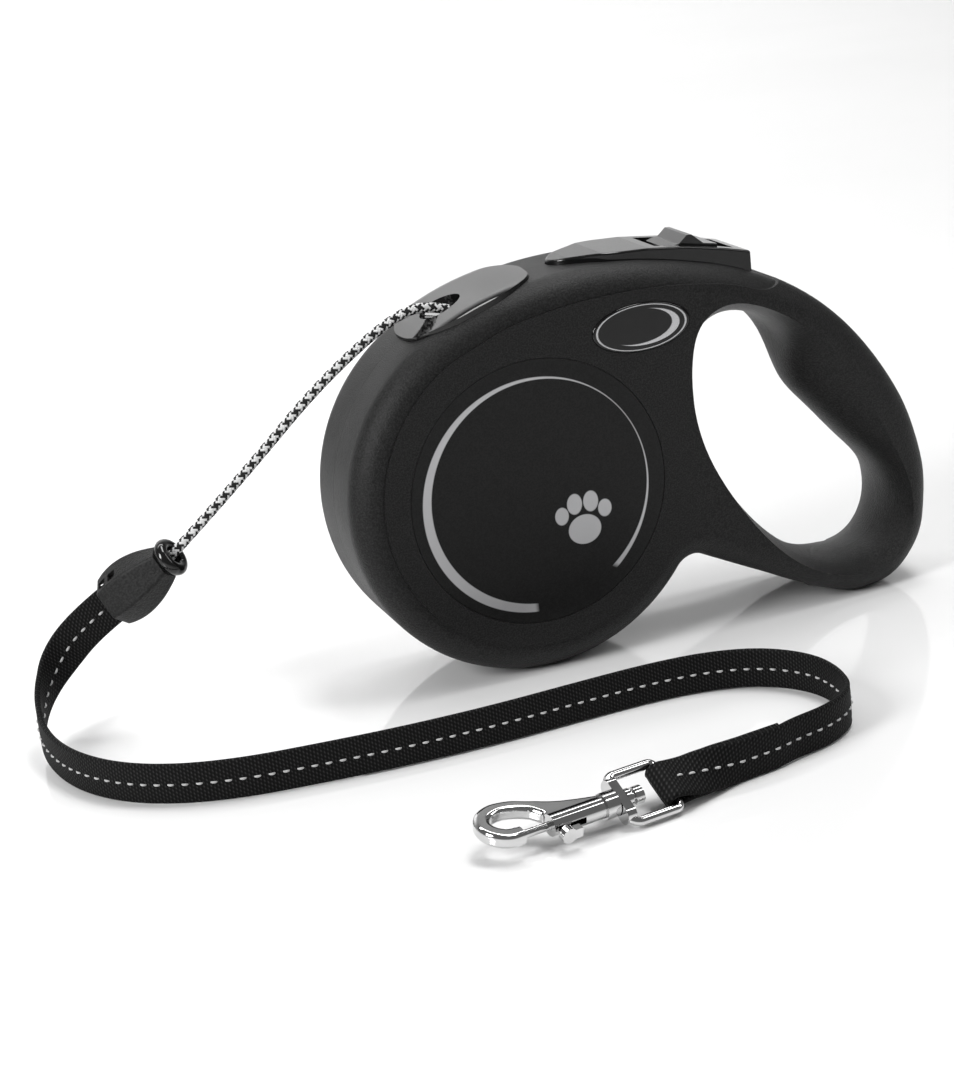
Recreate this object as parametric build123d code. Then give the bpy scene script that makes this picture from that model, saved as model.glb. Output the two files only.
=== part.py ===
"""Retractable dog leash: a two-shell case with a spring reel, a brake button, a cord, a strap and a snap hook.

Millimetres, +Z up. The case stands on its lower edge, its length runs along X and its thickness along Y,
with the nozzle towards -X and the grip towards +X. Shapes are drawn from the drum axis (x = 0, y = 0) and
moved by -CASE_MIDDLE at the end, which puts the origin on the floor under the middle of the case.
"""
from build123d import *
import math
import os

# ---- driving dimensions ------------------------------------------------------------------------------------
CASE_MIDDLE = 34.0          # from the drum axis to the middle of the case's length
DRUM_Z = 50.0               # height of the drum axis
BODY_R = 50.5               # round body; its rim lies PANEL_RISE inside this outline
RIM_FACE_Y = 18.7           # half thickness of the rim and top cover zone
PANEL_RISE = 0.5            # the side panel stands this far proud of the rim
GRIP_FACE_Y = 13.0          # half thickness at the far end of the grip
EDGE_R = 7.5                # rounding of the case's long edges
CAVITY_R = 42.5
CAVITY_Y = 16.5             # half width of the reel chamber
NOZZLE_RISE = 0.4

LABEL_R = 35.5
LABEL_T = 0.7
LABEL_SEAT_Y = 18.4
BADGE_AT = (32.2, 88.3)
BADGE_AXES = (13.9, 6.5)
BADGE_SEAT_Y = 18.0
BADGE_T = 1.5

DRUM_R = 41.0
DRUM_BORE_R = 3.05
AXLE_R = 3.0
TOOTH_COUNT = 24
GAP_ANGLE = 74.0            # the gap that the pawl drops into, measured from +X
GAP_WIDTH = 9.0             # degrees
GAP_ROOT_R = 37.4
WINDING_R = 35.5            # outer radius of 5 m of 2.8 mm cord on a 28 mm hub

BUTTON_PIVOT = (22.0, 102.0)
BUTTON_HALF_Y = 10.3
BUTTON_GAP = 0.3
PAWL_PIVOT = (44.0, 95.0)
SPRING_X = 57.0

CORD_D = 2.8
TAPE_WIDTH = 10.5
TAPE_T = 1.6
TAPE_Z = 5.5
LIFT = 17                   # the tape leaves the floor after this corner of its route
RISING_STEPS = 18
CONNECTOR_FROM = (-95.3, 1.0, 46.4)     # narrow end, where the cord goes in
CONNECTOR_TO = (-110.3, 10.6, 34.4)     # wide end, where the tape comes out

HOOK_AT = (-50.4, -120.1, 5.5)          # the barrel's axis, abreast of the eye
HOOK_YAW = 10.0                         # the barrel's axis in plan, from +X
EYE_TILT = 12.0                         # the eye's plane leans on that axis, outer side down
RING_TILT = 33.0                        # and so does the D-ring's
WIRE_D = 2.4                            # the D-ring's round bar
RING_BAR_AT = 39.6                      # the bar that holds the tape, along the axis
BARREL_R = 2.6
BOLT_R = 1.0
HOOK_EDGE_R = 1.1

# ---- outlines, as (x, z) --------------------------------------------------------------------------------------
SHOULDER_ANGLE = 122.7      # the round body ends here on the left, degrees about the drum axis
NOTCH_ANGLE = -37.8         # and here, under the grip
NOTCH_RUN = 4.6             # the notch's arc touches the body and the grip at this distance from their corner
GRIP_SLOPE = 27.0           # the grip's lower edge leaves the notch downwards at this angle
CASE_EDGE = [(-14.2, 99.1), (6.9, 104.4), (27, 105.4), (48.1, 102.3), (68.2, 96.2), (88, 84.1), (104, 66.4),
             (114.8, 45.5), (118, 26), (113.6, 9.2), (105, 1.7), (95, 0), (80, 4.2), (62, 12.9)]
PANEL_EDGE = [(-18.9, 88.9), (-12, 91.6), (-6, 93.9), (5, 96.4), (16, 97.7), (27.5, 98.1), (39, 97.8),
              (50, 96.5), (62, 93.8), (70, 91.4), (76, 92.6), (79, 96)]
PANEL_LOW = [(27.4, 17.6), (34.5, 22.2), (40.5, 26.7), (45, 28.3), (50.5, 26.7), (61.3, 19), (70, 12.6),
             (77, 7), (82, 0)]
# the finger hole at the parting plane, and where the hole meets the side face
HOLE_MID = [(48.6, 66), (51.2, 50.5), (59.3, 35), (69.8, 21.8), (80.5, 13), (92.5, 9), (103, 11), (108.2, 19.5),
            (106.2, 30.5), (97.8, 41), (87, 53.5), (81.3, 61), (79.3, 68.5), (77.8, 75.8), (73, 81), (63.5, 84.4),
            (55, 82.6), (50, 76.2)]
HOLE_FACE = [(46, 66), (48.7, 51.2), (57.1, 34.4), (67.6, 20.3), (78.5, 11.2), (92, 6.3), (105.5, 8.3), (111.8, 18),
             (111, 31.5), (106, 44), (98, 59), (90.5, 69.3), (82.5, 76.9), (74.5, 83), (66.5, 87.2), (58.5, 88.8),
             (50.8, 85.6), (46.8, 77)]
BUTTON_SIDE = [(15.2, 104.2), (15.2, 105.9), (19, 106.6), (27, 107.1), (40, 106.4), (52, 104.8), (62, 102.7),
               (69, 100.9), (69, 93.4), (55, 97.4), (40, 99.9), (27, 100.9), (19, 102)]
POCKET_FLOOR = [(12, 101.6), (27, 99.6), (40, 97.9), (55, 94.6), (70, 89.7)]
PAWL_SIDE = [(44, 98), (34, 96.4), (20, 96.3), (9, 95.2), (8.3, 91.6), (9.4, 90.5), (12.2, 89.8), (13.6, 92.4),
             (34, 92.4), (44, 92)]

# the snap hook in its own plane: x along the barrel from the eye, y across it
HOOK_OUTER = [(0.6, -1.9), (-3.0, -1.6), (-6.3, 0.9), (-7.8, 5.2), (-6.4, 9.7), (-2.2, 12.1), (3.0, 11.6),
              (8.0, 8.9), (13.0, 6.0), (18.0, 4.2), (22.0, 3.0)]
HOOK_OPENING = [(-4.0, 5.2), (-2.7, 2.7), (0.6, 1.7), (4.4, 1.5), (7.4, 1.9), (6.6, 5.0), (3.2, 7.7), (-0.8, 8.5),
                (-3.3, 7.4)]

# ---- routes, as (x, y, z), measured from the drum axis -------------------------------------------------------
CORD_ROUTE = [(-9.4, 0, 96.0), (-17.0, 0, 99.6), (-27.5, 0, 99.0), (-49.5, 0.1, 85.0), (-70.5, 0.4, 66.6),
              (-92.0, 0.8, 49.0)]
TAPE_ROUTE = [(25.0, -106.0, TAPE_Z), (37.0, -103.0, TAPE_Z), (46.3, -95.8, TAPE_Z), (49.7, -84.0, TAPE_Z),
              (48.6, -71.5, TAPE_Z), (40.5, -60.6, TAPE_Z), (28.0, -55.0, TAPE_Z), (12.0, -53.5, TAPE_Z),
              (-8.0, -54.6, TAPE_Z), (-32.0, -56.4, TAPE_Z), (-56.0, -56.2, TAPE_Z), (-78.0, -54.2, TAPE_Z),
              (-95.0, -52.0, TAPE_Z), (-109.5, -47.0, TAPE_Z), (-121.0, -38.8, TAPE_Z),
              (-129.0, -27.0, TAPE_Z), (-133.2, -13.0, TAPE_Z), (-134.3, 0.5, 7.0), (-131.8, 12.0, 11.5),
              (-125.0, 17.8, 19.5), (-116.4, 14.5, 29.5), (-106.6, 8.24, 37.35)]


def polar(radius, degrees):
    """A point of the XZ plane at this radius and angle about the drum axis."""
    return radius * math.cos(math.radians(degrees)), DRUM_Z + radius * math.sin(math.radians(degrees))


def slab(face, y_from, y_to):
    """Extrude a face drawn in (x, z) between two values of y."""
    return extrude(Plane.XZ.offset(-y_to) * face, y_to - y_from)


def disc(radius, y_from, y_to, at=(0.0, DRUM_Z)):
    return slab(Pos(*at) * Circle(radius), y_from, y_to)


def polygon(points):
    return make_face(Polyline(*points, close=True))


# ---- case -----------------------------------------------------------------------------------------------------
def turned(degrees):
    return math.cos(math.radians(degrees)), math.sin(math.radians(degrees))


def heading(a, b):
    length = math.dist(a, b)
    return (b[0] - a[0]) / length, (b[1] - a[1]) / length


def smooth_arcs(points, start, end):
    """Pairs of tangent arcs through the points; every point keeps one direction, so nothing kinks."""
    ways = [start]
    for a, b, c in zip(points, points[1:], points[2:]):
        near, far = math.dist(a, b), math.dist(b, c)
        one, two = heading(a, b), heading(b, c)
        ways.append(heading((0, 0), (one[0] * far + two[0] * near, one[1] * far + two[1] * near)))
    ways.append(end)
    arcs = []
    for p, go, q, come in zip(points, ways, points[1:], ways[1:]):
        span = (q[0] - p[0], q[1] - p[1])
        both = (go[0] + come[0], go[1] + come[1])
        k = both[0] ** 2 + both[1] ** 2 - 4
        m = span[0] * both[0] + span[1] * both[1]
        n = span[0] ** 2 + span[1] ** 2
        reach = n / (m + math.sqrt(m * m - k * n))
        middle = ((p[0] + q[0] + reach * (go[0] - come[0])) / 2, (p[1] + q[1] + reach * (go[1] - come[1])) / 2)
        first = TangentArc(p, middle, tangent=go)
        way = first % 1
        arcs += [first, TangentArc(middle, q, tangent=(way.X, way.Y))]
    return arcs


def case_outline():
    shoulder = polar(BODY_R, SHOULDER_ANGLE)
    under = polar(BODY_R, NOTCH_ANGLE)
    up = turned(NOTCH_ANGLE + 90)
    down = turned(-GRIP_SLOPE)
    corner = (under[0] + NOTCH_RUN * up[0], under[1] + NOTCH_RUN * up[1])
    grip_start = (corner[0] + NOTCH_RUN * down[0], corner[1] + NOTCH_RUN * down[1])
    back = (-down[0], -down[1])
    body = ThreePointArc(under, polar(BODY_R, 225), shoulder)
    rest = smooth_arcs([shoulder, *CASE_EDGE, grip_start], turned(SHOULDER_ANGLE - 90), back)
    notch = TangentArc(grip_start, under, tangent=back)
    return make_face([body, *rest, notch])


def half_block(grow):
    """The front half of the rounded case, y <= 0, grown outwards by grow."""
    outline = case_outline()
    if grow:
        outline = offset(outline, grow)
    face_y = RIM_FACE_Y + PANEL_RISE + grow
    grip_y = GRIP_FACE_Y + grow
    flat_end, far_end = 34.0, 125.0
    thickness = make_face([Line((-70, 1), (-70, -face_y)), Line((-70, -face_y), (flat_end, -face_y)),
                           TangentArc((flat_end, -face_y), (far_end, -grip_y), tangent=(1, 0)),
                           Line((far_end, -grip_y), (far_end, 1)), Line((far_end, 1), (-70, 1))])
    block = slab(outline, -face_y - 1, 0) & Pos(0, 0, -5) * extrude(thickness, 130)
    crease = (flat_end, -face_y)
    front = [e for e in block.edges()
             if e.center().Y < -9 and math.dist((e.center().X, e.center().Y), crease) > 1.0
             and e.bounding_box().max.Y < -9]
    return fillet(front, EDGE_R)


def hole_cutter():
    """The finger hole: narrow at the parting plane, where the grip is fullest, and wider at both sides."""
    sections = []
    for y, blend in [(-22, 1.5), (-17, 1.0), (-11, 0.42), (-5, 0.08), (0, 0), (5, 0.08), (11, 0.42), (17, 1.0),
                     (22, 1.5)]:
        points = [(m[0] + blend * (f[0] - m[0]), m[1] + blend * (f[1] - m[1])) for m, f in zip(HOLE_MID, HOLE_FACE)]
        sections.append(Plane.XZ.offset(-y) * make_face(Spline(*points, periodic=True)))
    return loft(sections)


def panel_region():
    """The part of the side view that belongs to the raised side panel and the grip."""
    start = PANEL_EDGE[0]
    left = polar(DRUM_R + 1.4, 180)
    low = PANEL_LOW[0]
    top = Spline(*PANEL_EDGE)
    bottom = Spline(*PANEL_LOW)
    around = Polyline(PANEL_EDGE[-1], (79, 125), (140, 125), (140, -20), (82, -20), PANEL_LOW[-1])
    return make_face([ThreePointArc(start, left, low), top, bottom, around])


def button_plan(grow):
    """The button seen from above: square at the rear, a blunt point at the front."""
    w, rear, tip = BUTTON_HALF_Y + grow, 69.0 + grow, 15.2 - grow
    nose = Spline((33, w), (24, w - 2.6), (tip + 1.5, 3.4), (tip, 0), (tip + 1.5, -3.4), (24, -w + 2.6), (33, -w),
                  tangents=[(-1, 0), (1, 0)])
    return make_face([nose, Polyline((33, -w), (rear, -w), (rear, w), (33, w))])


def nozzle_plane():
    return Plane(origin=(-9.3, 0, 98.4), x_dir=(0.947, 0, 0.323), z_dir=(-0.323, 0, 0.947))


def nozzle_prism(grow):
    """A rounded oval column square to the case's shoulder."""
    a, b = 18.6 + grow, 15.2 + grow
    power = 2.0 / 2.5
    points = []
    for step in range(16):
        t = 2 * math.pi * step / 16
        c, s = math.cos(t), math.sin(t)
        points.append((a * math.copysign(abs(c) ** power, c), b * math.copysign(abs(s) ** power, s)))
    face = nozzle_plane() * make_face(Spline(*points, periodic=True))
    return extrude(face, 9) + extrude(face, -6.0 - grow)


def screw_places():
    return [polar(46.3, 205), polar(46.3, 285), polar(45.6, 333), (80.5, 83.4), (103.5, 57.0), (98.0, 4.6)]


def shells():
    """Front and rear shells with the reel chamber, the button pocket, the seats and the screw holes."""
    raised = half_block(0) & slab(panel_region(), -30, 1)
    front = (half_block(-PANEL_RISE) + raised) - hole_cutter()
    whole = front + mirror(front, Plane.XZ)
    whole -= disc(CAVITY_R, -CAVITY_Y, CAVITY_Y)
    pocket = extrude(Pos(0, 0, 80) * button_plan(BUTTON_GAP), 40)
    pocket &= slab(polygon([*POCKET_FLOOR, (75, 89.7), (75, 125), (5, 125), (5, 101.6)]), -15, 15)
    whole -= pocket
    whole -= slab(Pos(27.5, 93.75) * Rectangle(42, 9.5), -3.8, 2.6)
    whole -= slab(Pos(34.1, 99.0) * Rectangle(4, 3), -2.6, 1.8)
    whole -= Pos(SPRING_X, 0, 89.0) * Cylinder(3.2, 20, align=(Align.CENTER, Align.CENTER, Align.MIN))
    whole -= nozzle_prism(0.1)
    whole -= throat_channel()
    whole -= disc(AXLE_R, -17.7, 17.7)
    whole -= disc(1.2, -10.6, 10.6, BUTTON_PIVOT)
    whole -= disc(1.5, -7, 7, PAWL_PIVOT)
    for side in (-1, 1):
        whole -= slab(Pos(0, DRUM_Z) * Circle(LABEL_R), *sorted((side * LABEL_SEAT_Y, side * 25)))
        whole -= slab(Pos(*BADGE_AT) * Ellipse(*BADGE_AXES), *sorted((side * BADGE_SEAT_Y, side * 25)))
    front = whole & Pos(34, -30, 55) * Box(200, 60, 140)
    rear = whole & Pos(34, 30, 55) * Box(200, 60, 140)
    for at in screw_places():
        rear -= disc(2.3, 8, 25, at) + disc(1.2, -1, 9, at)
        front -= disc(1.1, -8, 1, at)
    return front, rear


def throat_channel():
    """The cord's way from the reel chamber to the nozzle."""
    path = Plane(origin=(-9.4, 0, 96.0), z_dir=(0.86, 0, -0.51))
    return extrude(path * Circle(3.0), 18)


def nozzle():
    full = half_block(NOZZLE_RISE)
    full += mirror(full, Plane.XZ)
    body = full & nozzle_prism(0)
    mouth = Plane(origin=(-9.4, 0, 96.0), z_dir=(-0.80, 0, 0.60))
    body -= extrude(mouth * Circle(CORD_D / 2 + 0.1), -20)
    body -= mouth * Cone(CORD_D / 2 + 0.2, 6.4, 7.5, align=(Align.CENTER, Align.CENTER, Align.MIN))
    body -= Pos(0, 0, 0) * mouth * Pos(0, 0, 7.4) * Cylinder(6.4, 10, align=(Align.CENTER, Align.CENTER, Align.MIN))
    return body


def label(side):
    return disc(LABEL_R - 0.15, *sorted((side * LABEL_SEAT_Y, side * (LABEL_SEAT_Y + LABEL_T))))


def badge(side):
    plate = Ellipse(BADGE_AXES[0] - 0.12, BADGE_AXES[1] - 0.12)
    body = slab(Pos(*BADGE_AT) * plate, *sorted((side * BADGE_SEAT_Y, side * (BADGE_SEAT_Y + BADGE_T))))
    outer = body.faces().sort_by(Axis.Y)[0 if side < 0 else -1]
    return fillet(outer.edges(), 0.5)


def housing_screws():
    screws = []
    for at in screw_places():
        head = disc(2.1, 8, 10, at) - slab(Pos(*at) * (Rectangle(2.6, 0.6) + Rectangle(0.6, 2.6)), 9.2, 11)
        screws.append((head + disc(1.1, -7, 8.5, at)).solid())
    return Compound(children=screws)


# ---- brake -----------------------------------------------------------------------------------------------------
def brake_button():
    side = slab(polygon(BUTTON_SIDE), -15, 15)
    body = extrude(Pos(0, 0, 85) * button_plan(0), 30) & side
    rim = [e for e in body.edges().filter_by(lambda e: e.center().Z > 100.3) if abs(e.center().Y) > 2
           or e.center().X > 68]
    body = fillet(rim, 0.6)
    body -= slab(polygon([(29, 90), (29, 104.8), (40, 104.2), (52, 102.6), (66.8, 99.2), (66.8, 90)]), -8.2, 8.2)
    body += slab(polygon([(33.2, 104.8), (33.2, 96.75), (35.0, 96.75), (35.0, 104.7)]), -2.0, 1.2)
    body -= disc(1.25, -12, 12, BUTTON_PIVOT)
    body -= slab(polygon([(43, 108), (43, 104.6), (65.5, 100.9), (66.3, 103.4)]), -7.2, 7.2)
    return body - slab(polygon([(49, 105), (49, 100), (56.4, 100), (56.4, 105)]), -2.0, 2.0)


def lock_slider():
    """A plate on the button with a cross ridge for the thumb; its foot stands in the button's slot."""
    plate = slab(polygon([(46.2, 104.08), (46.2, 104.95), (50.2, 105.3), (52.6, 107.3), (54.0, 107.2),
                          (57.2, 104.4), (61.2, 103.6), (61.2, 101.61)]), -6.9, 6.9)
    ridge = [e for e in plate.edges() if e.center().Z > 107 and abs(e.center().Y) < 1]
    foot = slab(polygon([(49.3, 104.5), (49.3, 101.9), (52.0, 101.9), (52.0, 104.5)]), -1.9, 1.9)
    return fillet(ridge, 0.4) + foot


def brake_pawl():
    body = slab(polygon(PAWL_SIDE), -2.9, 1.7) + disc(3.0, -2.9, 1.7, PAWL_PIVOT)
    return body - disc(1.55, -5, 5, PAWL_PIVOT)


def button_spring():
    """A compression coil that stands in the case and pushes the button up."""
    coil_r, wire_r, pitch, height = 2.3, 0.3, 1.75, 11.6
    helix = Helix(pitch, height, coil_r)
    wire = Plane(origin=helix @ 0, z_dir=helix % 0) * Circle(wire_r)
    return Pos(SPRING_X, 0, 89.35) * sweep(wire, path=helix)


# ---- reel ---------------------------------------------------------------------------------------------------------
def cord_drum():
    drum = disc(DRUM_R, -15.6, -14.4) + disc(14, -15.6, 2.6) + disc(DRUM_R, -1.6, 0.4) + disc(7, -1, 14.4)
    for step in range(TOOTH_COUNT):
        middle = GAP_ANGLE + 360 / TOOTH_COUNT * step
        a, b = middle - GAP_WIDTH / 2, middle + GAP_WIDTH / 2
        gap = polygon([polar(GAP_ROOT_R, a), polar(45, a), polar(45, b), polar(GAP_ROOT_R, b)])
        drum -= slab(gap, -2, 1)
    return drum - disc(DRUM_BORE_R, -20, 20)


def cord_winding():
    """Five metres of cord, wound in layers, as one closed ring."""
    return disc(WINDING_R, -14.35, -1.65) - disc(14.05, -20, 5)


def spring_cassette():
    return disc(33, 4.7, CAVITY_Y) - disc(31.6, 0, 15.2) - disc(AXLE_R + 0.4, 0, 20)


def cassette_cover():
    return disc(33, 3.5, 4.7) - disc(7.6, 0, 6)


def power_spring():
    """The flat spiral spring: its outer end sits in the cassette, its inner end at the drum's arbor."""
    turns, inner, outer, thick = 8, 8.6, 30.2, 0.7
    sides = []
    for edge in (0, thick):
        sides.append([polar(edge + inner + (outer - inner) * k / (turns * 12), 30 * k)
                      for k in range(turns * 12 + 1)])
    band = make_face([Spline(*sides[0]), Line(sides[0][-1], sides[1][-1]), Spline(*sides[1]),
                      Line(sides[0][0], sides[1][0])])
    return slab(band, 5.2, 14.2)


# ---- cord, connector and tape ----------------------------------------------------------------------------------
def arc_radii(points):
    """Corner radii as large as the runs allow."""
    runs = [math.dist(a, b) for a, b in zip(points, points[1:])]
    radii = []
    for i in range(1, len(points) - 1):
        before = Vector(*points[i]) - Vector(*points[i - 1])
        after = Vector(*points[i + 1]) - Vector(*points[i])
        half_turn = math.radians(before.get_angle(after) / 2)
        radii.append(0.45 * min(runs[i - 1], runs[i]) / math.tan(half_turn))
    return radii


def report(name, radii, length, volume, section):
    print(name, "radii", [round(r, 1) for r in radii], "length", round(length, 1),
          "volume ratio", round(volume / (length * section), 4))


def leash_cord():
    radii = arc_radii(CORD_ROUTE)
    path = FilletPolyline(*CORD_ROUTE, radius=radii)
    tube = sweep(Plane(origin=path @ 0, z_dir=path % 0) * Circle(CORD_D / 2), path=path)
    report("leash_cord", radii, path.length, tube.volume, math.pi * CORD_D ** 2 / 4)
    return tube


def twisted(at, lean, thickness):
    """A section of the doubled tape on the hook's axis, leaning away from upright."""
    frame = Pos(*HOOK_AT) * Rot(0, 0, HOOK_YAW) * Pos(at, 0, 0) * Rot(lean, 0, 0)
    return frame * (Plane.YZ * Rectangle(thickness, TAPE_WIDTH))


def tape_section(path, at):
    """The tape's section at a fraction of its route: square to the route, wide side as upright as can be."""
    way = path % at
    plane = Plane(origin=path @ at, x_dir=Vector(0, 0, 1).cross(way), z_dir=way)
    return plane * Rectangle(TAPE_T, TAPE_WIDTH)


def leash_tape():
    """Upright along the floor; the end at the hook is folded round the D-ring's bar and sewn back on itself."""
    turn = 90 - RING_TILT
    axis = Vector(*turned(HOOK_YAW), 0)
    side = Vector(-axis.Y, axis.X, 0)
    fold = [twisted(at, -lean * turn, 2 * TAPE_T) for at, lean in
            [(RING_BAR_AT + 1.0, 1.0), (RING_BAR_AT + 9, 0.72), (RING_BAR_AT + 17, 0.25), (RING_BAR_AT + 22, 0.0)]]
    doubled = loft(fold)
    seam = Vector(*HOOK_AT) + axis * (RING_BAR_AT + 22) - side * (TAPE_T / 2)
    route = [tuple(seam), tuple(seam + axis * 9.5), *TAPE_ROUTE]
    radii = arc_radii(route)
    lift_off = tuple((Vector(*route[LIFT]) + Vector(*route[LIFT + 1])) / 2)
    flat = FilletPolyline(*route[:LIFT + 1], lift_off, radius=radii[:LIFT])
    rising = FilletPolyline(lift_off, *route[LIFT + 1:], radius=radii[LIFT:])
    along_floor = sweep(tape_section(flat, 0), path=flat)
    to_connector = loft([tape_section(rising, step / RISING_STEPS) for step in range(RISING_STEPS + 1)])
    report("leash_tape", radii, flat.length + rising.length, along_floor.volume + to_connector.volume,
           TAPE_T * TAPE_WIDTH)
    back_layer = Pos(*(seam + side * TAPE_T + axis * 5.5)) * Rot(0, 0, HOOK_YAW) * Box(11, TAPE_T, TAPE_WIDTH)
    wrap = twisted_cylinder(WIRE_D / 2 + 0.15 + TAPE_T, TAPE_WIDTH)
    bore = twisted_cylinder(WIRE_D / 2 + 0.15, 2 * TAPE_WIDTH)
    return (doubled + along_floor + to_connector + back_layer + wrap) - bore


def twisted_cylinder(radius, length):
    """A cylinder round the D-ring's bar."""
    frame = Pos(*HOOK_AT) * Rot(0, 0, HOOK_YAW) * Pos(RING_BAR_AT, 0, 0) * Rot(RING_TILT - 90, 0, 0)
    return frame * Cylinder(radius, length)


# ---- connector -------------------------------------------------------------------------------------------------
def connector_axis():
    return (Vector(*CONNECTOR_TO) - Vector(*CONNECTOR_FROM)).normalized()


def connector_plane(along):
    """A plane square to the connector's axis; its y looks to the front."""
    axis = connector_axis()
    return Plane(origin=Vector(*CONNECTOR_FROM) + axis * along, x_dir=(0.383, -0.414, -0.825), z_dir=axis)


def six_sided(half_width, half_flat, half_height):
    corners = [(half_width, 0), (half_flat, half_height), (-half_flat, half_height), (-half_width, 0),
               (-half_flat, -half_height), (half_flat, -half_height)]
    return polygon(corners)


def connector_shell():
    sections = [connector_plane(along) * six_sided(*sizes) for along, sizes in
                [(1.0, (4.8, 2.7, 3.9)), (7.0, (7.3, 3.6, 5.0)), (13.0, (8.3, 4.0, 5.6)), (20.0, (7.0, 3.6, 5.2))]]
    shell = loft(sections)
    long_edges = [e for e in shell.edges() if e.length > 12]
    shell = fillet(long_edges, 1.0)
    ends = [e for e in shell.edges() if abs((e.center() - Vector(*CONNECTOR_FROM)).dot(connector_axis()) - 20.0) < 0.01]
    shell = fillet(ends, 0.7)
    shell -= extrude(connector_plane(-1) * Circle(CORD_D / 2 + 0.1), 12)
    shell -= extrude(connector_plane(9.0) * RectangleRounded(11.0, 5.0, 1.2), 20)
    for along in (14.0, 17.6):
        shell -= connector_plane(along) * Pos(-5.2, 3.4, 0) * Rot(0, 0, 50) * Box(2.6, 4.5, 2.4)
    return shell


def connector_core():
    """The block inside the shell that holds the knotted cord and the tape's end."""
    return extrude(connector_plane(9.2) * RectangleRounded(10.7, 4.7, 1.1), 6.5)


def stop_ring():
    axis = connector_axis()
    ring = Plane(origin=Vector(*CONNECTOR_FROM) - axis * 1.2, z_dir=axis) * Torus(3.6, 1.7)
    bore = Plane(origin=Vector(*CONNECTOR_FROM) - axis * 6, z_dir=axis) * Circle(CORD_D / 2 + 0.45)
    return ring - extrude(bore, 12)


# ---- snap hook, drawn along X from the eye -------------------------------------------------------------------
def on_axis(shape, lean=EYE_TILT):
    return Pos(*HOOK_AT) * Rot(0, 0, HOOK_YAW) * Rot(lean, 0, 0) * shape


def rod(radius, start, end):
    cylinder = Cylinder(radius, end - start, align=(Align.CENTER, Align.CENTER, Align.MIN))
    return Pos(start, 0, 0) * Rot(0, 90, 0) * cylinder


def hook_body():
    """Eye, web and barrel. The eye's jaw is open at the side where the bolt closes it."""
    rim = smooth_arcs(HOOK_OUTER, (-1, 0), turned(-20))
    back = Polyline(HOOK_OUTER[-1], (22.0, 0), (9.0, 0), (9.0, -1.9), HOOK_OUTER[0])
    plate = extrude(make_face([*rim, back]), 1.8, both=True)
    opening = make_face(smooth_arcs([*HOOK_OPENING, HOOK_OPENING[0]], turned(-85), turned(-85)))
    plate -= extrude(opening, 5, both=True)
    rounded = [e for e in plate.edges() if abs(e.center().Z) > 1.7 and e.geom_type != GeomType.LINE]
    plate = fillet(rounded, HOOK_EDGE_R)
    plate -= Pos(4.2, -1.1, 0) * Box(7.2, 6.6, 8)
    body = plate + rod(BARREL_R, 7.8, 22.0) + rod(3.2, 21.8, 25.2)
    body -= rod(1.6, 9.5, 21.5)
    body -= rod(BOLT_R + 0.05, 5.0, 12.0)
    body -= Pos(12.4, -2.4, 0) * Box(7.4, 4.2, 1.7)
    return body - rod(1.25, 21.0, 26.0)


def hook_bolt():
    """The sliding pin that closes the jaw, with its thumb knob at the side of the barrel."""
    pin = rod(BOLT_R, 0.75, 10.0) + rod(1.5, 9.8, 12.6)
    stem = Pos(10.2, -2.4, 0) * Rot(90, 0, 0) * Cylinder(0.75, 4.0)
    knob = Pos(9.6, -5.0, 0) * Rot(90, 0, 0) * Cylinder(1.9, 1.8)
    knob += Pos(11.4, -5.0, 0) * Box(3.2, 1.8, 2.4)
    return pin + stem + knob


def bolt_spring():
    """The coil behind the bolt, drawn compressed."""
    helix = Helix(0.75, 2.6, 1.15)
    wire = Plane(origin=helix @ 0, z_dir=helix % 0) * Circle(0.25)
    coil = sweep(wire, path=helix)
    return Pos(18.0, 0, 0) * Rot(0, 90, 0) * coil


def swivel_rivet():
    """Pressed into the barrel; the D-ring turns on it."""
    return rod(1.25, 21.2, 28.1) + rod(2.3, 28.0, 29.3) + rod(1.7, 29.2, 30.4) + rod(2.2, 30.2, 32.4)


def swivel_ring():
    """D-ring: a flat foot with a hole for the rivet, and a round bar for the tape."""
    half = TAPE_WIDTH / 2 + 0.25 + WIRE_D / 2
    foot_at = 26.6
    corners = [(foot_at, 2.5), (foot_at, half), (RING_BAR_AT, half), (RING_BAR_AT, -half), (foot_at, -half),
               (foot_at, -2.5)]
    path = FilletPolyline(*corners, radius=[2.4, 1.4, 1.4, 2.4])
    wire = sweep(Plane(origin=path @ 0, z_dir=path % 0) * Circle(WIRE_D / 2), path=path)
    foot = Pos(foot_at, 0, 0) * Box(WIRE_D, 2 * half - 1.5, 4.6)
    foot = fillet(foot.edges().filter_by(Axis.X), 2.0)
    return wire + foot - rod(1.3, 20, 30)


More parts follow.
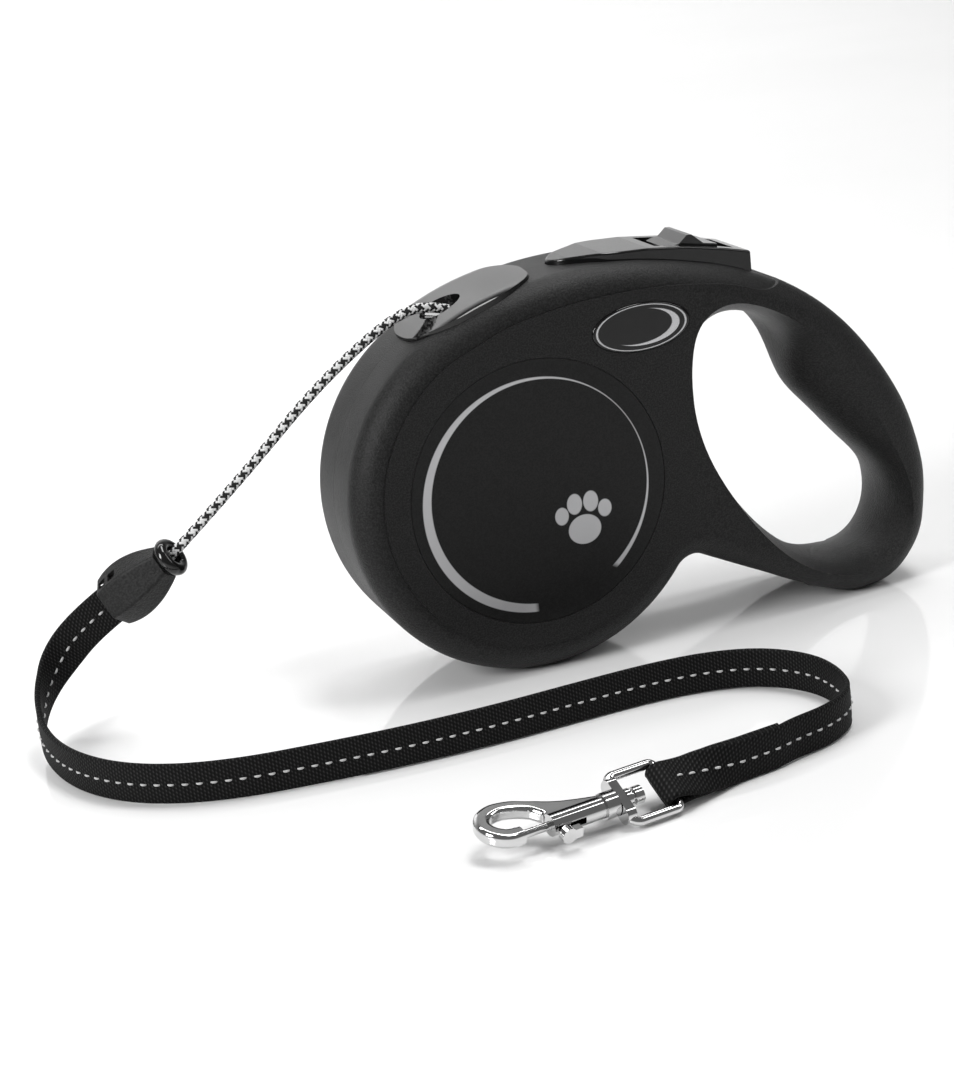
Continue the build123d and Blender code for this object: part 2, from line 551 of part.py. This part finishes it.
# ---- pieces ------------------------------------------------------------------------------------------------------
def build():
    front, rear = shells()
    pieces = {
        "housing_front": front,
        "housing_rear": rear,
        "housing_screws": housing_screws(),
        "nozzle": nozzle(),
        "label_front": label(-1),
        "label_rear": label(1),
        "badge_front": badge(-1),
        "badge_rear": badge(1),
        "brake_button": brake_button(),
        "lock_slider": lock_slider(),
        "button_pin": disc(1.2, -10.6, 10.6, BUTTON_PIVOT),
        "button_spring": button_spring(),
        "brake_pawl": brake_pawl(),
        "pawl_pin": disc(1.5, -7, 7, PAWL_PIVOT),
        "cord_drum": cord_drum(),
        "drum_axle": disc(AXLE_R, -17.6, 17.6),
        "cord_winding": cord_winding(),
        "power_spring": power_spring(),
        "spring_cassette": spring_cassette(),
        "cassette_cover": cassette_cover(),
        "leash_cord": leash_cord(),
        "stop_ring": stop_ring(),
        "connector_shell": connector_shell(),
        "connector_core": connector_core(),
        "leash_tape": leash_tape(),
        "swivel_ring": on_axis(swivel_ring(), RING_TILT),
        "swivel_rivet": on_axis(swivel_rivet()),
        "hook_body": on_axis(hook_body()),
        "hook_bolt": on_axis(hook_bolt()),
        "bolt_spring": on_axis(bolt_spring()),
    }
    return {name: centred(piece) for name, piece in pieces.items()}


def centred(piece):
    """Move a piece from the drum axis to the middle of the case."""
    solids = [Pos(-CASE_MIDDLE, 0, 0) * solid for solid in piece.solids()]
    return Compound(children=solids) if len(solids) > 1 else solids[0]


if __name__ == "__main__":
    os.makedirs("parts", exist_ok=True)
    for name, piece in build().items():
        export_step(piece, f"parts/{name}.step")
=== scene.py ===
"""Looks of the retractable leash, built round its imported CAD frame. Metres, +Z up."""
import bpy
import math
from mathutils import Matrix, Vector


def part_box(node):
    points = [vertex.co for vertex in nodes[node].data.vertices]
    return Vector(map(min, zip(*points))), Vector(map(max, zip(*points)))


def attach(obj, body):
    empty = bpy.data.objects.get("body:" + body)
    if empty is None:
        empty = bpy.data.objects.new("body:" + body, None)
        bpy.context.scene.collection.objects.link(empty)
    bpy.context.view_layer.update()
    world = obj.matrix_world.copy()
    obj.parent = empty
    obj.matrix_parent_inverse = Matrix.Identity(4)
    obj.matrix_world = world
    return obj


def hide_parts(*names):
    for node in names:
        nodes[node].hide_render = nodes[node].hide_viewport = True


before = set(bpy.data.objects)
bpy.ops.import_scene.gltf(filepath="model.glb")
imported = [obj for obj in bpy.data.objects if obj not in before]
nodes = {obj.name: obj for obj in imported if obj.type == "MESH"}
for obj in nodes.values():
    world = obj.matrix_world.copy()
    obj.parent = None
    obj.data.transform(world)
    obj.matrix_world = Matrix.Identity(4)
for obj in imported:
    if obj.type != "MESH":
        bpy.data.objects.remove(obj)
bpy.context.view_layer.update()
DRUM = Vector((-0.034, 0.0, 0.050))      # drum axis, at the parting plane


# ---- camera --------------------------------------------------------------------------------------
CAMERA_AT = (-0.2499, -0.6002, 0.2410)
CAMERA_TURN = (-18.754, 18.062, -6.204)  # azimuth, elevation and roll, in degrees
CAMERA_LENS = 83.33


def make_camera():
    az, el, roll = (math.radians(angle) for angle in CAMERA_TURN)
    back = Vector((math.sin(az) * math.cos(el), -math.cos(az) * math.cos(el), math.sin(el)))
    level = Vector((math.cos(az), math.sin(az), 0))
    right = math.cos(roll) * level + math.sin(roll) * back.cross(level)
    up = back.cross(right)
    data = bpy.data.cameras.new("camera")
    data.sensor_width = 36
    data.lens = CAMERA_LENS
    data.clip_start = 0.01
    camera = bpy.data.objects.new("camera", data)
    turn = Matrix((right, up, back)).transposed().to_4x4()
    camera.matrix_world = Matrix.Translation(CAMERA_AT) @ turn
    bpy.context.collection.objects.link(camera)
    bpy.context.scene.camera = camera


make_camera()


# ---- lines and meshes ----------------------------------------------------------------------------
def nurbs_line(points, step):
    """Points at equal steps on a smooth NURBS line with these control points."""
    curve = bpy.data.curves.new("line", "CURVE")
    curve.dimensions = "3D"
    curve.resolution_u = 24
    spline = curve.splines.new("NURBS")
    spline.points.add(len(points) - 1)
    for slot, p in zip(spline.points, points):
        slot.co = (*p, 1)
    spline.order_u = 3
    spline.use_endpoint_u = True
    holder = bpy.data.objects.new("line", curve)
    bpy.context.collection.objects.link(holder)
    mesh = bpy.data.meshes.new_from_object(holder)
    line = [v.co.copy() for v in mesh.vertices]
    bpy.data.objects.remove(holder)
    bpy.data.meshes.remove(mesh)
    return even_steps(line, step)


def even_steps(line, step):
    """The same line with its points at equal distances, about step apart."""
    lengths = [0.0]
    for a, b in zip(line, line[1:]):
        lengths.append(lengths[-1] + (b - a).length)
    count = max(2, round(lengths[-1] / step))
    out, k = [], 0
    for i in range(count + 1):
        want = lengths[-1] * i / count
        while k < len(lengths) - 2 and lengths[k + 1] < want:
            k += 1
        part = (want - lengths[k]) / max(lengths[k + 1] - lengths[k], 1e-9)
        out.append(line[k].lerp(line[k + 1], part))
    return out


def line_length(line):
    return sum((b - a).length for a, b in zip(line, line[1:]))


def headings(line):
    ways = []
    for i in range(len(line)):
        a, b = line[max(i - 1, 0)], line[min(i + 1, len(line) - 1)]
        ways.append((b - a).normalized())
    return ways


def new_object(name, verts, faces):
    mesh = bpy.data.meshes.new(name)
    mesh.from_pydata([tuple(v) for v in verts], [], faces)
    mesh.update()
    mesh.polygons.foreach_set("use_smooth", [True] * len(mesh.polygons))
    obj = bpy.data.objects.new(name, mesh)
    bpy.context.collection.objects.link(obj)
    return obj


def tube(verts, faces, rings):
    """Add closed rings of points, joined into a capped tube."""
    first, n = len(verts), len(rings[0])
    for ring in rings:
        verts.extend(ring)
    for i in range(len(rings) - 1):
        for k in range(n):
            a, b = first + i * n + k, first + i * n + (k + 1) % n
            faces.append((a, b, b + n, a + n))
    faces.append(tuple(first + k for k in reversed(range(n))))
    faces.append(tuple(first + (len(rings) - 1) * n + k for k in range(n)))


# ---- materials -----------------------------------------------------------------------------------
class Look:
    """A Principled material with short calls for the nodes that shape it."""

    def __init__(self, name, roughness, metallic=0.0, sheen=0.0, specular=0.5):
        self.data = bpy.data.materials.new(name)
        self.data.use_nodes = True
        self.tree = self.data.node_tree
        self.shader = self.tree.nodes["Principled BSDF"]
        self.shader.inputs["Roughness"].default_value = roughness
        self.shader.inputs["Metallic"].default_value = metallic
        self.shader.inputs["Sheen Weight"].default_value = sheen
        self.shader.inputs["Specular IOR Level"].default_value = specular
        self.place = self.add("ShaderNodeTexCoord").outputs["Object"]

    def add(self, kind, **settings):
        node = self.tree.nodes.new(kind)
        for key, value in settings.items():
            setattr(node, key, value)
        return node

    def join(self, source, target):
        self.tree.links.new(source, target)

    def noise(self, scale, detail=3.0, roughness=0.55, place=None):
        node = self.add("ShaderNodeTexNoise")
        node.inputs["Scale"].default_value = scale
        node.inputs["Detail"].default_value = detail
        node.inputs["Roughness"].default_value = roughness
        self.join(place or self.place, node.inputs["Vector"])
        return node.outputs["Fac"]

    def calc(self, kind, a, b=None, clamp=False):
        node = self.add("ShaderNodeMath", operation=kind, use_clamp=clamp)
        for slot, value in zip(node.inputs, (a, b)):
            if value is None:
                continue
            if isinstance(value, (int, float)):
                slot.default_value = value
            else:
                self.join(value, slot)
        return node.outputs[0]

    def step(self, value, edge, soft):
        """0 below the edge, 1 above it."""
        node = self.add("ShaderNodeMapRange", clamp=True)
        self.join(value, node.inputs["Value"])
        node.inputs["From Min"].default_value = edge - soft
        node.inputs["From Max"].default_value = edge + soft
        return node.outputs["Result"]

    def ramp(self, value, stops):
        node = self.add("ShaderNodeValToRGB")
        elements = node.color_ramp.elements
        while len(elements) < len(stops):
            elements.new(0.5)
        for element, (at, color) in zip(elements, stops):
            element.position = at
            element.color = (*color, 1) if isinstance(color, tuple) else (color, color, color, 1)
        self.join(value, node.inputs["Fac"])
        return node.outputs["Color"]

    def blend(self, share, a, b):
        node = self.add("ShaderNodeMix", data_type="RGBA")
        self.join(share, node.inputs["Factor"])
        for slot, value in ((node.inputs[6], a), (node.inputs[7], b)):
            if isinstance(value, tuple):
                slot.default_value = (*value, 1)
            else:
                self.join(value, slot)
        return node.outputs[2]

    def color(self, source):
        self.join(source, self.shader.inputs["Base Color"])

    def rough(self, source, low, high):
        node = self.add("ShaderNodeMapRange")
        self.join(source, node.inputs["Value"])
        node.inputs["From Min"].default_value = 0.3
        node.inputs["From Max"].default_value = 0.7
        node.inputs["To Min"].default_value = low
        node.inputs["To Max"].default_value = high
        self.join(node.outputs["Result"], self.shader.inputs["Roughness"])

    def bump(self, height, distance, strength=1.0):
        node = self.add("ShaderNodeBump")
        node.inputs["Strength"].default_value = strength
        node.inputs["Distance"].default_value = distance
        self.join(height, node.inputs["Height"])
        last = self.shader.inputs["Normal"]
        if last.is_linked:
            self.join(last.links[0].from_socket, node.inputs["Normal"])
        self.join(node.outputs["Normal"], last)

    def axes(self):
        split = self.add("ShaderNodeSeparateXYZ")
        self.join(self.place, split.inputs[0])
        return split.outputs


def grained_plastic(name, dark, light, grain, low, high, parting=False):
    look = Look(name, 0.45, specular=0.22)
    fine = look.noise(grain, 2.0, 0.6)
    broad = look.noise(35, 3.0)
    tone = look.ramp(fine, [(0.42, dark), (0.6, light)])
    if parting:
        line = look.step(look.calc("ABSOLUTE", look.axes()[1]), 0.00016, 0.00005)
        tone = look.blend(line, (0.0008, 0.0008, 0.0009), tone)
        look.bump(line, 0.0002, 0.7)
    look.color(tone)
    look.rough(broad, low, high)
    look.bump(fine, 0.00022, 0.8)
    look.bump(look.noise(grain * 0.3, 2.0), 0.00008, 0.35)
    return look.data


def glossy_plastic(name, tone, low, high):
    look = Look(name, 0.1, specular=0.5)
    look.color(look.ramp(look.noise(60), [(0.3, tone), (0.7, tone * 1.5)]))
    look.rough(look.noise(180, 4.0), low, high)
    look.bump(look.noise(90, 2.0), 0.00003, 0.25)
    return look.data


def metal(name, tone, low, high, scale=400.0):
    look = Look(name, 0.1, metallic=1.0)
    look.color(look.ramp(look.noise(120), [(0.3, tone * 0.9), (0.7, tone)]))
    look.rough(look.noise(scale, 4.0), low, high)
    look.bump(look.noise(scale * 0.5, 2.0), 0.00002, 0.3)
    return look.data


def disc_mask(look, u, v, at, radius, soft=0.00012, squeeze=1.0):
    """1 inside a circle or, squeezed, an ellipse of the side view."""
    du = look.calc("SUBTRACT", u, at[0])
    dv = look.calc("MULTIPLY", look.calc("SUBTRACT", v, at[1]), squeeze)
    away = look.calc("SQRT", look.calc("ADD", look.calc("MULTIPLY", du, du), look.calc("MULTIPLY", dv, dv)))
    return look.calc("SUBTRACT", 1.0, look.step(away, radius, soft))


def label_print(name, mirror):
    """Satin black disc with a silver ring, thick on the left, and a plain paw."""
    look = Look(name, 0.35, specular=0.25)
    axes = look.axes()
    u = look.calc("MULTIPLY", look.calc("SUBTRACT", axes[0], DRUM.x), mirror)
    v = look.calc("SUBTRACT", axes[2], DRUM.z)
    ring_out = disc_mask(look, u, v, (-0.0008, -0.0008), 0.0315)
    ring_in = disc_mask(look, u, v, (0.0002, -0.0001), 0.0301)
    ring = look.calc("MULTIPLY", ring_out, look.calc("SUBTRACT", 1.0, ring_in))
    below = look.step(look.calc("SUBTRACT", look.calc("MULTIPLY", u, -0.55), v), 0.0135, 0.0008)
    right = look.step(u, -0.004, 0.0006)
    silver = look.calc("MULTIPLY", ring, look.calc("SUBTRACT", 1.0, look.calc("MULTIPLY", below, right)))
    paw = [(0.0115, -0.0125, 0.0046, 1.15), (0.0054, -0.0078, 0.0019, 0.8), (0.0092, -0.0052, 0.0021, 0.75),
           (0.0138, -0.0052, 0.0021, 0.75), (0.0176, -0.0078, 0.0019, 0.8)]
    for pu, pv, r, squeeze in paw:
        silver = look.calc("MAXIMUM", silver, disc_mask(look, u, v, (pu, pv), r, squeeze=squeeze))
    fine = look.noise(2600, 2.0)
    tone = look.ramp(fine, [(0.4, 0.004), (0.6, 0.009)])
    look.color(look.blend(silver, tone, (0.55, 0.55, 0.56)))
    look.join(look.calc("MULTIPLY", silver, 0.7), look.shader.inputs["Metallic"])
    look.rough(look.noise(500, 3.0), 0.32, 0.42)
    look.bump(fine, 0.00004, 0.4)
    look.bump(silver, 0.00003, 0.6)
    return look.data


def badge_print(name, mirror):
    """Gloss black oval with a silver rim line and a crescent."""
    look = Look(name, 0.1, specular=0.4)
    axes = look.axes()
    low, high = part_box("badge_front")
    u = look.calc("MULTIPLY", look.calc("SUBTRACT", axes[0], (low[0] + high[0]) / 2), mirror)
    v = look.calc("SUBTRACT", axes[2], (low[2] + high[2]) / 2)
    half = (high[0] - low[0]) / 2
    squeeze = (high[0] - low[0]) / (high[2] - low[2])
    rim = look.calc("SUBTRACT", disc_mask(look, u, v, (0, 0), half * 0.93, squeeze=squeeze),
                    disc_mask(look, u, v, (0, 0), half * 0.895, squeeze=squeeze))
    moon = look.calc("MULTIPLY", disc_mask(look, u, v, (0.0006, 0), half * 0.74, squeeze=squeeze),
                     look.calc("SUBTRACT", 1.0,
                               disc_mask(look, u, v, (-0.0012, 0.0004), half * 0.72, squeeze=squeeze)))
    silver = look.calc("MAXIMUM", rim, moon)
    look.color(look.blend(silver, look.ramp(look.noise(300), [(0.3, 0.004), (0.7, 0.008)]), (0.6, 0.6, 0.61)))
    look.join(look.calc("MULTIPLY", silver, 0.8), look.shader.inputs["Metallic"])
    look.rough(look.noise(300), 0.08, 0.14)
    look.bump(silver, 0.00004, 0.6)
    return look.data


def yarn(name, dark, light):
    look = Look(name, 0.75, sheen=0.1, specular=0.2)
    fibre = look.noise(4200, 3.0, 0.7)
    look.color(look.ramp(fibre, [(0.35, dark), (0.65, light)]))
    look.rough(look.noise(2500), 0.6, 0.8)
    look.bump(fibre, 0.0001, 0.6)
    return look.data


def woven(name):
    """Tape: fine ribs across it and a twill of yarns, from its own length and width."""
    look = Look(name, 0.7, specular=0.12)
    uv = look.add("ShaderNodeUVMap", uv_map="UVMap").outputs["UV"]
    split = look.add("ShaderNodeSeparateXYZ")
    look.join(uv, split.inputs[0])
    along, across = split.outputs[0], split.outputs[1]
    ribs = look.calc("SINE", look.calc("MULTIPLY", along, 2 * math.pi / 0.00085))
    warp = look.calc("SINE", look.calc("ADD", look.calc("MULTIPLY", across, 2 * math.pi / 0.0011),
                                       look.calc("MULTIPLY", along, math.pi / 0.00085)))
    cloth = look.calc("ADD", look.calc("MULTIPLY", ribs, 0.3), look.calc("MULTIPLY", warp, 0.25))
    cloth = look.calc("ADD", cloth, 0.5, clamp=True)
    fibre = look.noise(5200, 3.0, 0.7)
    both = look.calc("ADD", look.calc("MULTIPLY", cloth, 0.7), look.calc("MULTIPLY", fibre, 0.3))
    look.color(look.ramp(both, [(0.3, 0.0015), (0.62, 0.006), (0.85, 0.032)]))
    look.rough(fibre, 0.55, 0.75)
    look.bump(both, 0.00022, 0.8)
    return look.data


black = grained_plastic("shell_black", 0.006, 0.019, 2400, 0.40, 0.50, parting=True)
gloss = glossy_plastic("gloss_black", 0.005, 0.06, 0.12)
connector_look = grained_plastic("connector_black", 0.008, 0.02, 1800, 0.42, 0.55)
rubber = glossy_plastic("ring_black", 0.005, 0.08, 0.16)
chrome = metal("chrome", 0.66, 0.04, 0.10)
steel = metal("steel", 0.6, 0.22, 0.38, 900)
reel_grey = grained_plastic("reel_grey", 0.22, 0.28, 1500, 0.45, 0.6)
yarn_black = yarn("yarn_black", 0.006, 0.02)
yarn_white = yarn("yarn_white", 0.62, 0.82)
tape_black = woven("tape_black")
thread = yarn("thread_grey", 0.42, 0.62)

looks = {
    "label_front": label_print("label_print_front", 1.0),
    "label_rear": label_print("label_print_rear", -1.0),
    "badge_front": badge_print("badge_print_front", 1.0),
    "badge_rear": badge_print("badge_print_rear", -1.0),
    "leash_tape": tape_black,
    "stop_ring": rubber,
}
shared_looks = [
    (black, ["housing_front", "housing_rear"]),
    (gloss, ["nozzle", "brake_button", "lock_slider"]),
    (steel, ["housing_screws", "button_pin", "pawl_pin", "drum_axle", "power_spring", "button_spring",
             "bolt_spring"]),
    (reel_grey, ["cord_drum", "spring_cassette", "cassette_cover", "brake_pawl"]),
    (yarn_black, ["cord_winding", "leash_cord"]),
    (connector_look, ["connector_shell", "connector_core"]),
    (chrome, ["swivel_ring", "swivel_rivet", "hook_body", "hook_bolt"]),
]
for look, names in shared_looks:
    looks.update({name: look for name in names})
for name, look in looks.items():
    data = nodes[name].data
    data.materials.clear()
    data.materials.append(look)


# ---- cord: sixteen yarns braided round the route -------------------------------------------------
CORD_D = 0.0028
CORD_ROUTE = [(-0.0434, 0, 0.0960), (-0.0510, 0, 0.0996), (-0.0615, 0, 0.0990), (-0.0835, 0.0001, 0.0850),
              (-0.1045, 0.0004, 0.0666), (-0.1262, 0.0008, 0.0488), (-0.1300, 0.0014, 0.0458)]
CORD_STEP = 0.00016
BRAID_PITCH = 0.007
YARNS = 8                                # each way round
YARN_HALF_WIDTH = 0.00040
YARN_HALF_THICKNESS = 0.00026
YARN_SINK = 0.00042                      # a yarn's middle lies this far inside the cord's radius
YARN_WAVE = 0.00014                      # and goes this far out and in as it passes over and under


def frames(line):
    """A direction and two square-on axes for every point, without twist."""
    ways = headings(line)
    side = ways[0].cross(Vector((0, 1, 0))).normalized()
    out = []
    for way in ways:
        side = (side - way * side.dot(way)).normalized()
        out.append((way, side, way.cross(side)))
    return out


def braided_cord():
    """Yarns that pass over and under each other; every second pair of them is white."""
    line = nurbs_line(CORD_ROUTE, CORD_STEP)
    axes = frames(line)
    step = line_length(line) / (len(line) - 1)
    verts, faces, colors = [], [], []
    for hand in (1, -1):
        for k in range(YARNS):
            rings = []
            for i, (p, (way, u, v)) in enumerate(zip(line, axes)):
                turn = 2 * math.pi * i * step / BRAID_PITCH
                angle = hand * turn + 2 * math.pi * k / YARNS
                over = hand * math.cos(YARNS * turn)
                radius = CORD_D / 2 - YARN_SINK + YARN_WAVE * over
                out = math.cos(angle) * u + math.sin(angle) * v
                round_way = math.cos(angle) * v - math.sin(angle) * u
                lean = (way * BRAID_PITCH + round_way * hand * 2 * math.pi * radius).normalized()
                flat = lean.cross(out)
                ring = []
                for c in range(6):
                    t = math.pi * c / 3
                    rise = out * (radius + YARN_HALF_THICKNESS * math.sin(t))
                    ring.append(p + rise + flat * (YARN_HALF_WIDTH * math.cos(t)))
                rings.append(ring)
            before = len(faces)
            tube(verts, faces, rings)
            colors += [k // 2 % 2] * (len(faces) - before)
    cord = new_object("braided_cord", verts, faces)
    cord.data.materials.append(yarn_black)
    cord.data.materials.append(yarn_white)
    cord.data.polygons.foreach_set("material_index", colors)
    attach(cord, "case")
    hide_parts("leash_cord")


braided_cord()

# ---- tape ----------------------------------------------------------------------------------------
TAPE_WIDTH = 0.0105
TAPE_T = 0.0016
HOOK_AT = Vector((-0.0844, -0.1201, 0.0055))
HOOK_YAW = math.radians(10)
HOOK_WAY = Vector((math.cos(HOOK_YAW), math.sin(HOOK_YAW), 0))
RING_LEAN = math.radians(57)             # the fold leans this far from upright
BAR_AT = 0.0396                          # the D-ring's bar along the hook's axis
SEAM_AT = 0.0616                         # the tape is doubled from here to the bar
TAIL_AT = 0.0726                         # and its tail ends here
SEAM_RUN = 0.0095                        # the tape comes straight to its seam over this length
FOLD_R = 0.00135 + TAPE_T / 2
LAYERS_MEET = 0.006                      # the two layers lie together from this far off the bar
LAYER_OUT = TAPE_T / 2 * 1.02            # where they do, each lies this far off the hook's axis
TAPE_STEP = 0.0008
FOLD_STEPS = 28
TAIL_STEPS = 42
WRAP_STEPS = 12
TAPE_ROUTE = [(-0.1406, 0.00824, 0.03735), (-0.1504, 0.0145, 0.0295), (-0.1590, 0.0178, 0.0195),
              (-0.1658, 0.0120, 0.0115), (-0.1683, 0.0005, 0.0070), (-0.1672, -0.0130, 0.0055),
              (-0.1630, -0.0270, 0.0055), (-0.1550, -0.0388, 0.0055), (-0.1435, -0.0470, 0.0055),
              (-0.1290, -0.0520, 0.0055), (-0.1120, -0.0542, 0.0055), (-0.0900, -0.0562, 0.0055),
              (-0.0660, -0.0564, 0.0055), (-0.0420, -0.0546, 0.0055), (-0.0220, -0.0535, 0.0055),
              (-0.0060, -0.0550, 0.0055), (0.0065, -0.0606, 0.0055), (0.0146, -0.0715, 0.0055),
              (0.0157, -0.0840, 0.0055), (0.0123, -0.0958, 0.0055), (0.0030, -0.1030, 0.0055),
              (-0.0090, -0.1060, 0.0055)]


def fold_station(at):
    """Middle of the doubled tape, its width and flat directions, and how far out each layer lies."""
    side = Vector((-HOOK_WAY.y, HOOK_WAY.x, 0))
    share = min(max((SEAM_AT - at) / (SEAM_AT - BAR_AT - 0.001), 0), 1)
    lean = RING_LEAN * share * share * (3 - 2 * share)
    wide = Vector((0, 0, math.cos(lean))) + side * math.sin(lean)
    flat = side * math.cos(lean) - Vector((0, 0, math.sin(lean)))
    near = min(max((at - BAR_AT) / LAYERS_MEET, 0), 1)
    return HOOK_AT + HOOK_WAY * at, wide, flat, LAYER_OUT * near + FOLD_R * (1 - near)


def tape_stations():
    """Centre, direction and width direction all along the tape, from the connector to the end of its tail."""
    side = Vector((-HOOK_WAY.y, HOOK_WAY.x, 0))
    seam = HOOK_AT + HOOK_WAY * SEAM_AT - side * (TAPE_T / 2)
    line = nurbs_line([*TAPE_ROUTE, tuple(seam + HOOK_WAY * SEAM_RUN), tuple(seam)], TAPE_STEP)
    stations = []
    for p, way in zip(line, headings(line)):
        wide = (Vector((0, 0, 1)) - way * way.z).normalized()
        stations.append((p, way, wide))
    for i in range(1, FOLD_STEPS + 1):
        middle, wide, flat, reach = fold_station(SEAM_AT + (BAR_AT - SEAM_AT) * i / FOLD_STEPS)
        stations.append((middle - flat * reach, -HOOK_WAY, wide))
    bar, wide, flat, _ = fold_station(BAR_AT)
    for i in range(1, WRAP_STEPS):
        t = math.pi * i / WRAP_STEPS
        out = -flat * math.cos(t) - HOOK_WAY * math.sin(t)
        way = flat * math.sin(t) - HOOK_WAY * math.cos(t)
        stations.append((bar + out * FOLD_R, way, wide))
    for i in range(TAIL_STEPS + 1):
        middle, wide, flat, reach = fold_station(BAR_AT + (TAIL_AT - BAR_AT) * i / TAIL_STEPS)
        stations.append((middle + flat * reach, HOOK_WAY, wide))
    return stations


def tape_section():
    """Half width and half thickness round the tape's section, with soft selvedges."""
    w, t = TAPE_WIDTH / 2, TAPE_T / 2
    edge = [(w, 0), (w - 0.00015, 0.55 * t), (w - 0.0006, 0.95 * t), (w - 0.0012, 0.88 * t)]
    top = edge + [(0.5 * w, t), (0, t), (-0.5 * w, t)] + [(-a, b) for a, b in reversed(edge)]
    return top + [(a, -b) for a, b in reversed(top[1:-1])]


def sewn_tape():
    """One strip with its length and width as UVs, in metres; its rear face is 20 mm along in V."""
    stations = tape_stations()
    section = tape_section()
    verts, faces, rings, runs = [], [], [], []
    run = 0.0
    for i, (p, way, wide) in enumerate(stations):
        if i:
            run += (p - stations[i - 1][0]).length
        runs.append(run)
        thin = way.cross(wide)
        rings.append([p + wide * a + thin * b for a, b in section])
    tube(verts, faces, rings)
    tape = new_object("sewn_tape", verts, faces)
    layer = tape.data.uv_layers.new(name="UVMap")
    n = len(section)
    for loop in tape.data.loops:
        i, k = divmod(loop.vertex_index, n)
        layer.data[loop.index].uv = (runs[i], section[k][0] + (0.02 if section[k][1] < 0 else 0))
    tape.data.materials.append(tape_black)
    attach(tape, "case")
    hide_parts("leash_tape")
    stitches = tape_stitches(stations, runs)


def at_run(stations, runs, want):
    """Centre, direction and width direction at a distance along the tape."""
    for i in range(len(runs) - 1):
        if runs[i + 1] >= want:
            part = (want - runs[i]) / max(runs[i + 1] - runs[i], 1e-9)
            a, b = stations[i], stations[i + 1]
            way, wide = a[1].lerp(b[1], part), a[2].lerp(b[2], part)
            return a[0].lerp(b[0], part), way.normalized(), wide.normalized()
    return stations[-1]


def dash(verts, faces, stations, runs, start, face):
    """One stitch: a thread that comes up, lies on the tape and goes down again."""
    rings = []
    for i in range(7):
        t = i / 6
        p, way, wide = at_run(stations, runs, start + STITCH_LENGTH * t)
        thin = way.cross(wide) * face
        lift = TAPE_T / 2 + 0.00006 + 0.00020 * math.sin(math.pi * t) - (0.00018 if i in (0, 6) else 0)
        centre = p + thin * lift
        fat = 0.55 + 0.45 * math.sin(math.pi * t)
        rings.append([centre + wide * (0.00032 * fat * math.cos(a)) + thin * (0.00022 * fat * math.sin(a))
                      for a in [math.pi * c / 3 for c in range(6)]])
    tube(verts, faces, rings)


STITCH_PITCH = 0.0035
STITCH_LENGTH = 0.0017
TAIL_LENGTH = 0.0326                     # from the bar to the end of the tape


def tape_stitches(stations, runs):
    """A running stitch along the middle on both faces, left out where the tape goes round the bar."""
    verts, faces = [], []
    count = int((runs[-1] - 0.004) / STITCH_PITCH)
    fold = runs[-1] - TAIL_LENGTH
    for k in range(1, count):
        start = 0.002 + k * STITCH_PITCH
        if fold - 0.012 < start < fold + 0.006:
            continue
        dash(verts, faces, stations, runs, start, 1)
        dash(verts, faces, stations, runs, start + STITCH_PITCH / 2, -1)
    stitches = new_object("tape_stitches", verts, faces)
    stitches.data.materials.append(thread)
    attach(stitches, "case")
    return stitches


sewn_tape()


# ---- floor and light -----------------------------------------------------------------------------
def white_floor():
    """A level floor that rises in a smooth curve far behind the object."""
    verts, faces = [], []
    profile = [(-3.0, 0.0), (1.6, 0.0)]
    profile += [(1.6 + 1.0 * math.sin(a), 1.0 - 1.0 * math.cos(a)) for a in
                [math.radians(9 * i) for i in range(1, 11)]]
    profile.append((2.6, 4.0))
    for y, z in profile:
        verts += [(-4, y, z), (4, y, z)]
    for i in range(len(profile) - 1):
        faces.append((2 * i, 2 * i + 1, 2 * i + 3, 2 * i + 2))
    floor = new_object("floor", verts, faces)
    look = Look("floor_white", 0.1)
    look.color(look.ramp(look.noise(3), [(0.3, 0.80), (0.7, 0.84)]))
    look.rough(look.noise(8), 0.07, 0.10)
    look.bump(look.noise(400), 0.00002, 0.1)
    floor.data.materials.append(look.data)


def area_light(name, at, size, power, aim=(-0.03, -0.04, 0.04)):
    data = bpy.data.lights.new(name, "AREA")
    data.shape = "RECTANGLE"
    data.size, data.size_y = size
    data.energy = power
    light = bpy.data.objects.new(name, data)
    light.location = at
    light.rotation_euler = (Vector(aim) - Vector(at)).to_track_quat("-Z", "Y").to_euler()
    bpy.context.collection.objects.link(light)


white_floor()
area_light("key", (-0.95, -0.35, 0.55), (0.30, 0.50), 9)
area_light("top", (0.30, 0.0, 1.4), (0.7, 0.4), 11)
area_light("fill", (0.9, -0.5, 0.9), (0.20, 0.8), 3)
area_light("backdrop", (0.0, 1.1, 2.2), (3.0, 0.8), 62, (0.0, 2.6, 0.7))
world = bpy.data.worlds.new("studio")
bpy.context.scene.world = world
world.use_nodes = True
world.node_tree.nodes["Background"].inputs["Color"].default_value = (1, 1, 1, 1)
world.node_tree.nodes["Background"].inputs["Strength"].default_value = 0.16
bpy.context.scene.view_settings.view_transform = "Standard"
